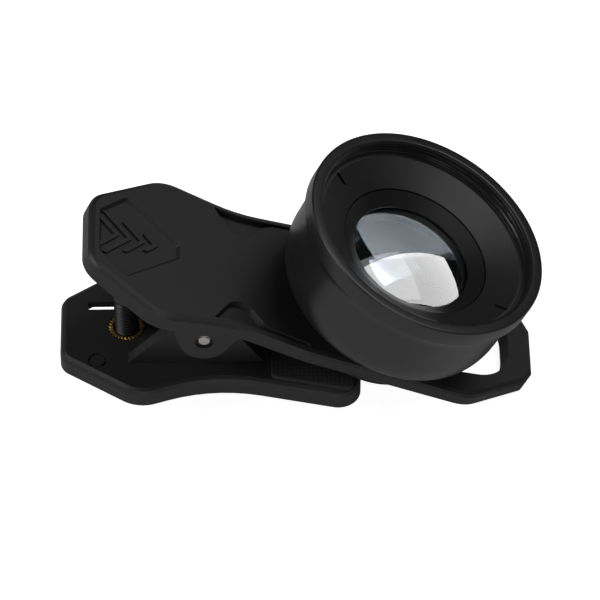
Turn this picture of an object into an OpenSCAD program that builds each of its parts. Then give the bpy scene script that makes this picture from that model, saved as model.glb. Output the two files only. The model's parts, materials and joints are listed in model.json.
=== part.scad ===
// Clip-on phone lens: a spring clip of two moulded arms that carries a screw-in lens.
// Millimetres, +Z up. The clip stands on z = 0, on its thumb knob and the upper arm's tip,
// with the jaws closed. x = 0 and y = 0 are the middle of its length and width.

/* [Hinge] */
// Diameter of the steel hinge pin
pin_d = 2.4; // [2:0.1:3]
// Height of the pin's axis above the lower arm's top face
pin_h = 9.4; // [8.8:0.1:11]
// Depth of the pin's axis below the upper arm's top face
pin_drop = 6.4; // [6:0.1:7.5]
// Radius of the ears around the pin
ear_r = 4; // [3.4:0.1:4.8]
// Thickness of each ear
ear_t = 3.6; // [2.4:0.1:4]
// Distance between the outer faces of the two ears
ear_span = 23; // [21:0.5:24]
// How far an ear's root reaches behind the pin
ear_back = 7.6; // [6:0.2:9]
// How far an ear's root reaches ahead of the pin
ear_front = 4.7; // [4.4:0.1:7]
// Radius of the lower arm's lugs around the pin
lug_r = 2.9; // [2.4:0.1:3]
// Thickness of each lug
lug_t = 2; // [1.6:0.1:2.4]
// How far a lug's gusset reaches behind the pin
lug_back = 12.3; // [8:0.1:14]
// How far a lug's gusset reaches ahead of the pin
lug_front = 9.4; // [6:0.1:10]

/* [Upper arm] */
// Distance from the pin to the lens axis
reach = 27.3; // [26:0.1:32]
// Distance from the pin to the end of the upper handle
handle_len = 22.3; // [20:0.1:28]
// Distance from the lens axis to the arm's tip
tip_len = 28.2; // [26:0.2:32]
// Thickness of the arm's front frame
arm_t = 3; // [2.6:0.1:3.4]
// Thickness of the handle
handle_t = 3.8; // [3.4:0.1:4.2]
// Width across the thumb pad's corners
pad_w = 29.2; // [26:0.2:32]
// Width of the flat at the handle's end
end_w = 13.6; // [9:0.2:15]
// Width of the waist at the hinge
waist_w = 24.2; // [23.4:0.2:26]
// Width of the frame around the lens
frame_w = 26.8; // [26.6:0.2:30]
// Width of the flat at the arm's tip
tip_w = 8.8; // [6:0.2:14]
// Length of the solid bar at the tip
bar_w = 4.4; // [3.6:0.2:7]
// Width of the struts beside the window
strut_w = 4.2; // [3.4:0.1:4.6]
// Radius of the solid ring around the lens mount
boss_r = 13.2; // [12.8:0.1:13.6]
// Width of the bevel along the arms' top edges
bevel = 0.9; // [0.4:0.1:1.2]
// Depth of the grip panel on the thumb pad
panel_d = 0.5; // [0.3:0.1:0.8]
// Length of the grip panel
panel_len = 13.8; // [11:0.2:15]
// Width of the grip panel
panel_w = 17; // [14:0.5:19]
// Number of chevron ribs in the grip panel
chevrons = 4; // [2:1:5]
// Depth of the side pockets ahead of the hinge
scoop_d = 1.1; // [0.6:0.1:1.6]
// Wall left around the hollows under the handles and over the upper one
skin = 1.7; // [1.2:0.1:2]

/* [Lower arm] */
// Thickness of the lower arm
low_t = 4; // [3.4:0.1:4.6]
// Distance from the pin to the end of the lower handle
low_len = 23.3; // [21:0.1:28]
// Width of the flat at the lower handle's end
low_end_w = 12.4; // [9:0.2:14]
// Wall left over the hollow under the lower handle
low_skin = 1.3; // [1:0.1:2]
// Distance from the pin to the front edge of the lower jaw
jaw_len = 24.9; // [24:0.1:27]
// Width of the lower jaw at its front
jaw_w = 31.4; // [27:0.2:32]
// Width across the lower handle's corners
low_pad_w = 28.8; // [25:0.2:30]
// Width of the lower arm's waist
low_waist_w = 20.8; // [20:0.2:24]
// Distance from the front edge back to the jaw pad's rear edge
jaw_pad_len = 14.4; // [10:0.2:15]
// Width of the rim around the jaw pad
jaw_rim = 1; // [0.8:0.1:2]
// Depth of the jaw pad's recess
jaw_recess = 1; // [0.6:0.1:1.4]
// Thickness of the jaw pad
jaw_pad_t = 1.6; // [1.3:0.1:2]
// Length of the lanyard slot
slot_len = 4.8; // [3:0.1:6]
// Width of the lanyard slot
slot_w = 1.6; // [1.2:0.1:2]

/* [Tension screw] */
// Distance from the pin to the screw's axis
screw_x = 12.6; // [12:0.1:15]
// Outside diameter of the screw's thread
screw_d = 3.9; // [3:0.1:4.5]
// Outside diameter of the brass insert
insert_d = 6; // [5.6:0.1:6.6]
// Height of the screw's end above the lower arm
screw_rise = 8; // [5:0.1:8.4]
// Diameter of the thumb knob
knob_d = 10.4; // [8:0.2:12]
// Thickness of the thumb knob
knob_t = 3; // [2.4:0.1:3.4]
// Number of flutes around the thumb knob
knob_flutes = 12; // [8:1:16]

/* [Spring] */
// Diameter of the spring's wire
wire_d = 1.2; // [0.8:0.1:1.3]
// Number of turns in the coil
coil_turns = 7; // [4:1:7]
// Gap between the pin and the coil
coil_gap = 0.4; // [0.2:0.05:0.5]
// Length of each leg
leg_len = 11; // [10:0.5:13]

/* [Phone pad] */
// Outside diameter of the soft ring around the lens port
phone_pad_d = 25.2; // [24:0.2:25.6]
// Inside diameter of the soft ring
phone_port_d = 18.4; // [17.6:0.2:19]
// Thickness of the soft ring
phone_pad_t = 2.1; // [1.6:0.1:2.4]
// Depth of the soft ring's recess
phone_recess = 0.8; // [0.5:0.1:1.2]
// Gap left between the closed jaws
jaw_gap = 0.25; // [0.1:0.05:0.5]

/* [Lens barrel] */
// Wall of the front rim outside the filter thread
rim_wall = 2.05; // [1.8:0.05:2.6]
// How far the rim stands out from the barrel's waist
flare_w = 1.05; // [0.7:0.05:1.2]
// Diameter of the barrel's rear face
rear_d = 32; // [28:0.2:34]
// Height of the rim above the arm's top face
barrel_top = 19.8; // [19:0.1:24]
// Height of the barrel's rear face above the arm's top face
barrel_lift = 3.1; // [2.8:0.1:4]
// Height of the straight lip at the rim
lip_h = 3; // [1.5:0.1:4]
// Height of the hollow flare under the lip
flare_h = 2.4; // [1.5:0.1:3.5]
// Height of the rounded lower end
round_h = 5.8; // [4:0.2:8]
// Thickness of the barrel's rear wall
rear_wall = 2; // [1.5:0.1:2.4]
// Diameter of the front filter thread at its crests
filter_d = 36.2; // [36:0.1:36.8]
// Length of the front filter thread
filter_len = 2.3; // [1.8:0.1:3]
// Thickness of the trim ring at its edge
trim_t = 1; // [0.8:0.1:1.4]
// How far the barrel's plain bore lies inside the filter thread
bore_step = 1; // [0.8:0.1:1.4]
// Inside diameter of the trim ring
trim_in_d = 24.9; // [24.7:0.1:26]
// Depth of the trim ring's funnel
funnel_d = 2.3; // [1.8:0.1:2.6]

/* [Lens mount] */
// Diameter of the mounting thread
mount_d = 17; // [16:0.2:17.6]
// Wall of the mount ring's body
mount_wall = 1.9; // [1.6:0.1:2.2]
// How far the mount ring's flange stands out from its body
flange_lip = 1.8; // [1:0.1:2.2]
// Thickness of the mount ring's flange
flange_t = 0.9; // [0.6:0.1:1.2]
// Thickness of the seal under the lens
seal_t = 0.7; // [0.5:0.1:0.9]
// Diameter of the knurled collar behind the barrel
collar_d = 26; // [25:0.2:28]

/* [Optics] */
// Outside diameter of the lens cell
cell_d = 24; // [23.6:0.1:24.2]
// Diameter of the front element
front_d = 21.6; // [21:0.1:22]
// Front radius of the front element
front_r = 28; // [20:0.5:40]
// Edge thickness of the front element
front_edge = 2.6; // [2:0.1:2.8]
// Diameter of the cemented pair
pair_d = 19; // [18:0.1:19.6]
// Front radius of the cemented pair
pair_r = 26; // [22:0.5:40]
// Radius of the cemented surface
cement_r = 22; // [18:0.5:30]
// Edge thickness of the pair's front glass
crown_edge = 1.2; // [1:0.1:1.4]
// Edge thickness of the pair's rear glass
flint_edge = 3.6; // [3.2:0.1:3.8]
// Diameter of the rear element
rear_glass_d = 14.6; // [13.6:0.1:14.8]
// Rear radius of the rear element
rear_glass_r = 15; // [12:0.5:24]
// Edge thickness of the rear element
rear_edge = 1.6; // [1.2:0.1:1.8]
// Thickness of the stop between the pair and the rear element
stop_t = 1.2; // [0.8:0.1:1.6]

/* [Hidden] */
$fn = 96;

// Clearances: fixed fits, running fits, and the least gap between parts that pass each other
fit = 0.03;
run = 0.05;
pass_gap = 0.2;
// Overlap that makes two shapes of one piece join
join = 0.5;
// Cutters run past the faces that they cut by this much
over = 1;
// Angle of one straight step round a corner of an outline
arc_step = 5;

black = [0.15, 0.16, 0.16];
soft_black = [0.10, 0.10, 0.10];
anodised = [0.12, 0.12, 0.13];
steel = [0.78, 0.77, 0.72];
brass = [0.75, 0.52, 0.20];
glass = [0.75, 0.82, 0.86, 0.5];

pin_r = pin_d/2;
knurl_depth = 0.12;
// The lens axis and the arm's faces in the upper arm's frame, whose origin is on the pin's axis
arm_top = pin_drop;
arm_bottom = pin_drop - arm_t;
handle_bottom = pin_drop - handle_t;
nose_x = reach + tip_len;
mount_ring_d = mount_d + 2*mount_wall;
flange_d = mount_ring_d + 2*flange_lip;
rim_d = filter_d + 2*rim_wall;
waist_d = rim_d - 2*flare_w;
bore_d = filter_d - 2*bore_step;
// The lower arm's faces in its own frame, whose origin is also on the pin's axis
low_top = -pin_h;
low_bottom = -pin_h - low_t;
jaw_pad_top = low_top - jaw_recess + jaw_pad_t;
jaw_pad_front = jaw_len - jaw_rim;
// The closed arm turns until the soft ring lies jaw_gap above the jaw pad's front edge
ring_face = arm_bottom + phone_recess - phone_pad_t;
edge_far = norm([jaw_pad_front, jaw_pad_top]);
tilt = asin((ring_face - jaw_gap)/edge_far) - atan2(jaw_pad_top, jaw_pad_front);
// The tip's lower edge touches the ground
under_bevel = 0.5;
tip_low = min(arm_bottom*cos(tilt) - (nose_x - under_bevel)*sin(tilt),
              (arm_bottom + under_bevel)*cos(tilt) - nose_x*sin(tilt));
pin_z = -tip_low;
stand = pin_z + low_bottom;
// The middle of the length lies between the lower handle's end and the rim or the tip
rim_chamfer = 0.3;
rim_x = reach*cos(tilt) + (arm_top + barrel_top - rim_chamfer)*sin(tilt) + rim_d/2*cos(tilt);
tip_x = nose_x*cos(tilt) + (arm_top - bevel*0.8)*sin(tilt);
pin_x = -(max(rim_x, tip_x) - low_len)/2;

// Frames of the two arms and of the lens
module in_lower() translate([pin_x, 0, pin_z]) children();
module in_upper() in_lower() rotate([0, tilt, 0]) children();
module in_lens() in_upper() translate([reach, 0, arm_top]) children();

// One rounded corner b of an outline that runs from a to c, as points on its arc.
// Its radius gives way where a side would be shorter than the arc's reach along it
side_share = 0.65;
function unit(v) = v/norm(v);
function flat2(p) = [p[0], p[1]];
function corner(a, b, c) =
    let(to_a = unit(flat2(a) - flat2(b)), to_c = unit(flat2(c) - flat2(b)),
        half = acos(max(-1, min(1, to_a*to_c)))/2,
        turn = sign(-to_a[0]*to_c[1] + to_a[1]*to_c[0]),
        side = min(norm(flat2(a) - flat2(b)), norm(flat2(c) - flat2(b))),
        r = min(b[2], side_share*side*tan(half)),
        centre = flat2(b) + unit(to_a + to_c)*r/sin(half),
        first = flat2(b) + to_a*r/tan(half) - centre,
        start = atan2(first[1], first[0]),
        sweep = turn*(180 - 2*half),
        steps = max(2, ceil(abs(sweep)/arc_step)))
    b[2] <= 0 ? [flat2(b)]
              : [for (i = [0:steps]) centre + r*[cos(start + sweep*i/steps), sin(start + sweep*i/steps)]];
function rounded(pts) =
    let(n = len(pts))
    [for (i = [0:n - 1]) each corner(pts[(i + n - 1)%n], pts[i], pts[(i + 1)%n])];
// A whole outline from the corners of its right half, listed from the rear to the front
function both_sides(half) =
    let(n = len(half))
    concat([for (p = half) [p[0], -p[1], p[2]]], [for (i = [n - 1:-1:0]) half[i]]);
// An outline moved inwards by d along its corners' mean normals
function inset(pts, d) =
    let(n = len(pts))
    [for (i = [0:n - 1])
        let(e1 = unit(pts[i] - pts[(i + n - 1)%n]), e2 = unit(pts[(i + 1)%n] - pts[i]),
            n1 = [e1[1], -e1[0]], n2 = [e2[1], -e2[0]])
        pts[i] - d*(n1 + n2)/(1 + n1*n2)];

// A plate whose edge follows profile, a list of [inset, height] from the bottom to the top. Its edge
// runs a little past either end and a slab cuts it there, so each flat side is one face.
past = 0.05;
slab_w = 200;
function beyond(from, to) = to + (to - from)*past/abs(to[1] - from[1]);
module plate(outline, profile) {
    n = len(outline);
    m = len(profile);
    rows = [for (k = [0:m - 1]) k == 0 ? beyond(profile[1], profile[0])
                              : k == m - 1 ? beyond(profile[m - 2], profile[m - 1]) : profile[k]];
    points = [for (row = rows) each [for (p = inset(outline, row[0])) [p[0], p[1], row[1]]]];
    sides = [for (k = [0:m - 2]) for (i = [0:n - 1]) let(j = (i + 1)%n)
             [k*n + i, (k + 1)*n + i, (k + 1)*n + j, k*n + j]];
    intersection() {
        polyhedron(points, concat(sides, [[for (i = [0:n - 1]) i]],
                                  [[for (i = [n - 1:-1:0]) (m - 1)*n + i]]));
        translate([-slab_w/2, -slab_w/2, profile[0][1]])
            cube([slab_w, slab_w, profile[m - 1][1] - profile[0][1]]);
    }
}

// Outlines of the two arms: each corner's distance along the arm and its radius
pad_corner = [10, 6.9];
pad_end_r = 4.7;
waist_corner = [3, 25.6];
shoulder = [15.4, 20];
frame_corner = [16.6, 7];
tip_cut = [1.4, 2.4];
tip_r = 1.3;
low_corner = [10.8, 6];
low_end_r = 2.8;
low_waist_corner = [1.4, 28];
jaw_r = 3.6;
handle_root_x = 4.5;
upper_outline = rounded(both_sides([
    [-handle_len, end_w/2, pad_end_r], [-pad_corner[0], pad_w/2, pad_corner[1]],
    [waist_corner[0], waist_w/2, waist_corner[1]], [shoulder[0], frame_w/2, shoulder[1]],
    [reach + frame_corner[0], frame_w/2, frame_corner[1]],
    [nose_x - tip_cut[0], tip_w/2 + tip_cut[1], tip_r], [nose_x, tip_w/2, tip_r]]));
lower_outline = rounded(both_sides([
    [-low_len, low_end_w/2, low_end_r], [-low_corner[0], low_pad_w/2, low_corner[1]],
    [low_waist_corner[0], low_waist_w/2, low_waist_corner[1]], [jaw_len, jaw_w/2, jaw_r]]));
// Only the handle of an arm, which ends on the straight side between its corner and its waist
function handle_shape(end, end_r, side, turn, waist) =
    let(fall = (side[1] - waist[1])*(side[0] - handle_root_x)/(side[0] + waist[0]))
    rounded(both_sides([[-end[0], end[1], end_r], [-side[0], side[1], turn],
                        [-handle_root_x, side[1] - fall, 0]]));
upper_handle = handle_shape([handle_len, end_w/2], pad_end_r, [pad_corner[0], pad_w/2], pad_corner[1],
                            [waist_corner[0], waist_w/2]);
lower_handle = handle_shape([low_len, low_end_w/2], low_end_r, [low_corner[0], low_pad_w/2], low_corner[1],
                            [low_waist_corner[0], low_waist_w/2]);

// Side view of a hinge wall: a round end about the pin, tangent to a root on a flat face
function tangent(p, r, way) =
    let(a = atan2(p[1], p[0]) + way*acos(r/norm(p))) r*[cos(a), sin(a)];
module hinge_wall(r, back, front, root) {
    way = root > 0 ? 1 : -1;
    sunk = root + way*join;
    circle(r);
    polygon([[-back, sunk], [-back, root], tangent([-back, root], r, way),
             tangent([front, root], r, -way), [front, root], [front, sunk]]);
}
module wall_at(y, t) translate([0, y + t, 0]) rotate([90, 0, 0]) linear_extrude(t) children();
module both_walls(outer, t) {
    wall_at(outer - t, t) children();
    wall_at(-outer, t) children();
}
module cross_bore(r) rotate([90, 0, 0]) cylinder(h = ear_span + 2*over, r = r, center = true);

ear_out = ear_span/2;
lug_out = ear_out - ear_t - pass_gap;
screw_r = screw_d/2;
insert_r = insert_d/2;

// Upper arm
window_side = frame_w/2 - strut_w;
window_front = tip_len - bar_w;
window_taper = 1.9;
window_r = 6.8;
window_outline = rounded(both_sides([[boss_r - 2, window_side, 1],
                                     [window_front, window_side - window_taper, window_r]]));
module window() difference() {
    translate([0, 0, -arm_t - over]) linear_extrude(arm_t + 2*over) polygon(window_outline);
    translate([0, 0, -arm_t - 2*over]) cylinder(h = arm_t + 4*over, r = boss_r);
}

// Grip panel: a long six-sided recess with bevelled walls that holds plain chevron ribs
panel_margin = 1.6;
panel_x = -handle_len + panel_margin + panel_len/2;
panel_nose_w = 3;
rib_w = 0.9;
module grip_panel() {
    half = panel_len/2;
    outline = rounded([[-half, -panel_w/4, 0.8], [-half/3, -panel_w/2, 1.2], [half, -panel_nose_w/2, 0.8],
                       [half, panel_nose_w/2, 0.8], [-half/3, panel_w/2, 1.2], [-half, panel_w/4, 0.8]]);
    plate(outline, [[panel_d, -panel_d], [0, 0], [-over, over]]);
}
module chevron(w) {
    for (side = [-1, 1])
        linear_extrude(panel_d - 0.1)
            polygon([[rib_w, 0], [rib_w - w/2, side*w/2], [-w/2, side*w/2], [0, 0]]);
}
module chevrons() {
    pitch = (panel_len - 5)/chevrons;
    for (i = [0:chevrons - 1])
        let(x = panel_len/2 - 4.6 - i*pitch, w = min(panel_w - 6.4, 3.4 + 2.6*i))
            translate([x, 0, -panel_d]) chevron(w);
}

// Side pocket: a high arch beside the hinge that runs out in a low band along the arm's edge
scoop_rim = 1.2;
scoop_draft = 0.4;
scoop_end_r = 0.8;
arch_end = [-2.6, 14];
arch_top = [3.3, 5.2, 2.8];
arch_foot = [8.2, 10.7, 3.6];
band_end = [15.6, 11.7];
scoop_outline = rounded([
    [arch_end[0], -arch_end[1], scoop_end_r], [band_end[0], -arch_end[1], scoop_end_r],
    [band_end[0], -band_end[1], scoop_end_r],
    [arch_foot[0], -arch_foot[1], arch_foot[2]], [arch_top[0], -arch_top[1], arch_top[2]]]);
module side_scoop() intersection() {
    plate(scoop_outline, [[scoop_draft, -scoop_d], [0, 0], [-scoop_draft, scoop_d]]);
    translate([0, 0, -2*scoop_d]) linear_extrude(4*scoop_d) polygon(inset(upper_outline, scoop_rim));
}

// Hollow under a handle, which leaves a rim, ribs and a round seat under the screw
rib_t = 1.1;
module handle_hollow(outline, depth, seat_r) {
    difference() {
        plate(outline, [[skin - 0.2, -over], [skin, depth]]);
        translate([-screw_x, 0, -2*over]) cylinder(h = depth + 3*over, r = seat_r);
        translate([-low_len, -rib_t/2, -2*over]) cube([low_len, rib_t, depth + 3*over]);
        for (side = [-1, 1])
            translate([-screw_x, 0, 0]) rotate([0, 0, side*62])
                translate([-rib_t/2, -pad_w, -2*over]) cube([rib_t, 2*pad_w, depth + 3*over]);
    }
}

coil_pitch = wire_d + 0.1;
leg_y = coil_turns*coil_pitch/2;
groove_w = wire_d + 0.8;
upper_floor = arm_top - skin;
module upper_arm() color(black) in_upper() difference() {
    union() {
        translate([0, 0, arm_top])
            plate(upper_outline, [[under_bevel, -arm_t], [0, under_bevel - arm_t], [0, -bevel*0.8],
                                  [bevel*0.3, -bevel*0.3], [bevel, 0]]);
        translate([0, 0, arm_top])
            plate(upper_handle, [[0.6, -handle_t], [0.02, 0.6 - handle_t], [0.02, -bevel]]);
        both_walls(ear_out, ear_t) hinge_wall(ear_r, ear_back, ear_front, arm_bottom);
    }
    cross_bore(pin_r);
    for (side = [-1, 1])
        translate([0, side*(ear_out + over), 0]) rotate([side*90, 0, 0])
            cylinder(h = over + 0.3, r = pin_r + 0.3);
    translate([0, 0, arm_top]) for (side = [0, 1]) mirror([0, side, 0]) side_scoop();
    translate([panel_x, 0, arm_top]) difference() {
        grip_panel();
        chevrons();
    }
    translate([0, 0, handle_bottom])
        handle_hollow(upper_handle, upper_floor - handle_bottom, 3);
    translate([-leg_len - over, leg_y - groove_w/2, handle_bottom - over])
        cube([leg_len - over, groove_w, upper_floor - handle_bottom + over]);
    translate([reach, 0, arm_top]) {
        window();
        translate([0, 0, -arm_t - over]) cylinder(h = arm_t + 2*over, r = mount_ring_d/2);
        translate([0, 0, -arm_t - over]) cylinder(h = phone_recess + over, r = phone_pad_d/2);
    }
}

// Steel pin: a plain shaft with straight-knurled ends that bite in the ears
module knurled_outline(r, teeth, depth) {
    polygon([for (i = [0:2*teeth - 1])
             let(a = 180*i/teeth, q = i%2 == 0 ? r : r - depth) q*[cos(a), sin(a)]]);
}
pin_inset = 0.15;
module hinge_pin() color(steel) in_upper() {
    shaft = 2*lug_out;
    rotate([90, 0, 0]) cylinder(h = shaft + 2*join, r = pin_r - knurl_depth/2 - 0.02, center = true);
    for (side = [-1, 1])
        rotate([side*90, 0, 0]) translate([0, 0, lug_out])
            linear_extrude(ear_out - pin_inset - lug_out) knurled_outline(pin_r, 18, knurl_depth);
}

module mount_ring() color(anodised) in_lens() difference() {
    union() {
        translate([0, 0, phone_recess - arm_t])
            cylinder(h = arm_t - phone_recess + flange_t, r = mount_ring_d/2);
        cylinder(h = flange_t, r = flange_d/2);
    }
    translate([0, 0, -arm_t]) cylinder(h = arm_t + flange_t + over, r = mount_d/2);
}

module phone_pad() color(soft_black) in_lens() difference() {
    translate([0, 0, phone_recess - arm_t - phone_pad_t]) cylinder(h = phone_pad_t, r = phone_pad_d/2 - fit);
    translate([0, 0, -arm_t - phone_pad_t]) cylinder(h = arm_t + phone_pad_t, r = phone_port_d/2);
}

// Torsion spring: one wire from the lower leg's end, round the pin and out to the upper leg's end
coil_r = pin_r + coil_gap + wire_d/2;
wire_r = wire_d/2;
wire_sides = 8;
coil_step = 24;
// Slope of a leg, of which the end lies drop away from the pin's axis
function leg_angle(drop) = asin(drop/norm([coil_r, leg_len])) - atan2(coil_r, leg_len);
low_leg_a = leg_angle(-low_top - wire_r - pass_gap);
up_leg_a = leg_angle(upper_floor - wire_r - pass_gap);
coil_from = low_leg_a - 90;
coil_to = 90 - up_leg_a - tilt + 360*(coil_turns - 1);
coil_steps = ceil((coil_to - coil_from)/coil_step);
// A ring of the wire: its centre's turn about the pin and its distance back along a leg
function wire_ring(turn, y, back) = [for (k = [0:wire_sides - 1])
    let(a = 360*k/wire_sides, r = coil_r + wire_r*cos(a))
    [r*cos(turn) + back*sin(turn), y + wire_r*sin(a), r*sin(turn) - back*cos(turn)]];
module torsion_spring() color(steel) in_lower() {
    rings = concat([wire_ring(coil_from, -leg_y, leg_len)],
        [for (i = [0:coil_steps]) wire_ring(coil_from + (coil_to - coil_from)*i/coil_steps,
                                            leg_y*(2*i/coil_steps - 1), 0)],
        [wire_ring(coil_to, leg_y, -leg_len)]);
    n = wire_sides;
    last = len(rings) - 1;
    sides = [for (k = [0:last - 1]) for (i = [0:n - 1]) let(j = (i + 1)%n)
             [k*n + i, k*n + j, (k + 1)*n + j, (k + 1)*n + i]];
    polyhedron([for (ring = rings) each ring],
        concat(sides, [[for (i = [n - 1:-1:0]) i]], [[for (i = [0:n - 1]) last*n + i]]));
}

// Lower arm
slot_x = -18.9;
slot_y = 3.7;
mark_x = -17.2;
mark_y = -7.1;
mark_r = 1.6;
mark_line = 0.5;
mark_d = 0.25;
jaw_slope = (jaw_w - low_waist_w)/2/(jaw_len - low_waist_corner[0]);
jaw_side_rim = jaw_rim*norm([1, jaw_slope]);
jaw_pad_outline = rounded(both_sides([
    [jaw_len - jaw_pad_len, jaw_w/2 - jaw_slope*jaw_pad_len - jaw_side_rim, 1.2],
    [jaw_pad_front, jaw_w/2 - jaw_slope*jaw_rim - jaw_side_rim, jaw_r - jaw_rim]]));
module lower_arm() color(black) in_lower() difference() {
    union() {
        translate([0, 0, low_bottom])
            plate(lower_outline, [[0.6, 0], [0, 0.6], [0, low_t - bevel], [bevel*0.35, low_t - bevel*0.3],
                                  [bevel, low_t]]);
        both_walls(lug_out, lug_t) hinge_wall(lug_r, lug_back, lug_front, low_top);
    }
    cross_bore(pin_r + run);
    translate([0, 0, low_top - jaw_recess]) linear_extrude(jaw_recess + over) polygon(jaw_pad_outline);
    translate([-screw_x, 0, low_bottom - over]) cylinder(h = low_t + 2*over, r = insert_r);
    translate([slot_x, slot_y, low_bottom - over]) cube([slot_len, slot_w, low_t + 2*over]);
    translate([mark_x, mark_y, low_top - mark_d]) difference() {
        cylinder(h = mark_d + over, r = mark_r);
        translate([0, 0, -over]) cylinder(h = over + mark_d, r = mark_r - mark_line);
    }
    translate([0, 0, low_bottom]) handle_hollow(lower_handle, low_t - low_skin, insert_r + 1.4);
}

module threaded_insert() color(brass) in_lower() translate([-screw_x, 0, low_bottom]) difference() {
    linear_extrude(low_t + 0.15) knurled_outline(insert_r - fit, 28, 0.25);
    translate([0, 0, -over]) cylinder(h = low_t + 2*over, r = screw_r + run);
}

module lower_jaw_pad() color(soft_black) in_lower()
    translate([0, 0, low_top - jaw_recess])
        linear_extrude(jaw_pad_t) polygon(inset(jaw_pad_outline, fit));

// Tension screw: a plain rod of the thread's outside diameter with a socket for its tip
socket_d = 2.4;
socket_h = 1.6;
socket_room = 0.1;
tip_cap_h = 0.8;
knob_floor = 0.4;
screw_end = low_top + screw_rise - tip_cap_h;
module tension_screw() color(anodised) in_lower() translate([-screw_x, 0, 0]) difference() {
    translate([0, 0, knob_floor - pin_z]) cylinder(h = screw_end + pin_z - knob_floor, r = screw_r);
    translate([0, 0, screw_end - socket_h]) cylinder(h = socket_h + over, r = socket_d/2 + run);
}

module screw_tip_pad() color(soft_black) in_lower() translate([-screw_x, 0, screw_end]) {
    translate([0, 0, socket_room - socket_h]) cylinder(h = socket_h, r = socket_d/2);
    cylinder(h = tip_cap_h*0.5, r = screw_r - 0.1);
    translate([0, 0, tip_cap_h*0.5]) cylinder(h = tip_cap_h*0.5, r1 = screw_r - 0.1, r2 = screw_r - 0.7);
}

knob_boss_h = 0.6;
knob_boss_wall = 1.2;
flute_r = 0.95;
flute_out = 0.5;
module thumb_knob() color(black) in_lower() translate([-screw_x, 0, -pin_z]) difference() {
    knob_r = knob_d/2;
    edge = 0.5;
    boss = screw_r + knob_boss_wall;
    rotate_extrude() polygon([[0, 0], [knob_r - edge, 0], [knob_r, edge], [knob_r, knob_t - edge],
                              [knob_r - edge, knob_t], [boss, knob_t], [boss - 0.2, knob_t + knob_boss_h],
                              [0, knob_t + knob_boss_h]]);
    translate([0, 0, knob_floor]) cylinder(h = knob_t + knob_boss_h, r = screw_r);
    for (i = [0:knob_flutes - 1])
        rotate([0, 0, (i + 0.5)*360/knob_flutes]) translate([knob_r + flute_out, 0, -over])
            cylinder(h = knob_t + 2*over, r = flute_r);
}

// Lens: heights are measured from the upper arm's top face
seat_z = flange_t + seal_t;
// The trim ring's seat is narrower than the thread and ends a little above the ring
trim_drop = 0.12;
trim_step = 0.4;
thread_end = barrel_top - filter_len;
ledge_z = thread_end - trim_drop - trim_t;
trim_top = ledge_z + trim_t;
filter_r = filter_d/2;
trim_seat_r = filter_r - trim_step;
bore_r = bore_d/2;
cell_r = cell_d/2;

// Depth of a spherical surface of radius r at the distance s from its axis
function sag(r, s) = r - sqrt(r*r - s*s);

module thread_seal() color(soft_black) in_lens() translate([0, 0, flange_t]) difference() {
    cylinder(h = seal_t, r = mount_ring_d/2);
    translate([0, 0, -over]) cylinder(h = seal_t + 2*over, r = mount_d/2 + 0.1);
}

// Barrel's outside: an elliptic rounded end, a nearly straight body, a hollow flare and a lip
module lens_barrel() color(anodised) in_lens() {
    waist_r = waist_d/2;
    rear_r = rear_d/2;
    rim_r = rim_d/2;
    round_top = barrel_lift + round_h;
    lip_z = barrel_top - lip_h;
    end_pts = [for (a = [0:15:90]) [rear_r + (waist_r - 0.15 - rear_r)*sin(a), round_top - round_h*cos(a)]];
    flare_pts = [for (i = [0:8]) let(t = i/8)
                 [waist_r + (rim_r - waist_r)*(1 - cos(90*t)), lip_z - flare_h + flare_h*sin(90*t)]];
    inner = [[filter_r, barrel_top], [filter_r, thread_end], [trim_seat_r, thread_end],
             [trim_seat_r, ledge_z], [bore_r, ledge_z],
             [bore_r, barrel_lift + rear_wall], [cell_r + fit, barrel_lift + rear_wall],
             [cell_r + fit, barrel_lift]];
    rotate_extrude() polygon(concat(end_pts, flare_pts,
        [[rim_r, barrel_top - rim_chamfer], [rim_r - rim_chamfer, barrel_top]], inner));
}

// Optical stack, from the rear towards the front
glass_fit = 0.04;
rear_top = barrel_lift - 0.9;
stop_top = rear_top + stop_t;
flint_top = stop_top + flint_edge;
crown_top = flint_top + crown_edge;
front_seat = crown_top + 2;
front_top = front_seat + front_edge;
cell_top = front_top + 0.7;
tube_end = phone_recess - arm_t + 0.1;
rear_glass_rad = rear_glass_d/2;
pair_rad = pair_d/2;
front_rad = front_d/2;

module lens_cell() color(anodised) in_lens() {
    collar_r = collar_d/2;
    rotate_extrude() polygon([
        [rear_glass_rad + glass_fit, tube_end], [mount_d/2 - run, tube_end], [mount_d/2 - run, seat_z],
        [collar_r - 1, seat_z], [collar_r - 1, barrel_lift], [cell_r, barrel_lift], [cell_r, cell_top],
        [front_rad + glass_fit, cell_top], [front_rad + glass_fit, front_seat],
        [pair_rad + glass_fit, front_seat], [pair_rad + glass_fit, stop_top],
        [rear_glass_rad - 1, stop_top], [rear_glass_rad - 1, rear_top],
        [rear_glass_rad + glass_fit, rear_top]]);
    translate([0, 0, seat_z]) linear_extrude(barrel_lift - seat_z) difference() {
        knurled_outline(collar_r, 48, 0.3);
        circle(collar_r - 1.5);
    }
}

module trim_ring() color(anodised) in_lens() {
    trim_r = trim_seat_r - fit;
    in_r = trim_in_d/2;
    key_deep = 1.2;
    key_len = 2.6;
    key_w = 0.6;
    difference() {
        rotate_extrude() polygon([[trim_r, ledge_z], [trim_r, trim_top], [trim_r - 0.5, trim_top],
                                  [in_r, trim_top - funnel_d], [in_r, trim_top - funnel_d - 0.7],
                                  [bore_r - 0.4, ledge_z]]);
        for (side = [0, 180])
            rotate([0, 0, side - 33]) translate([trim_r - key_len, -key_w/2, trim_top - key_deep])
                cube([key_len - 0.4, key_w, key_deep + over]);
    }
}

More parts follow.
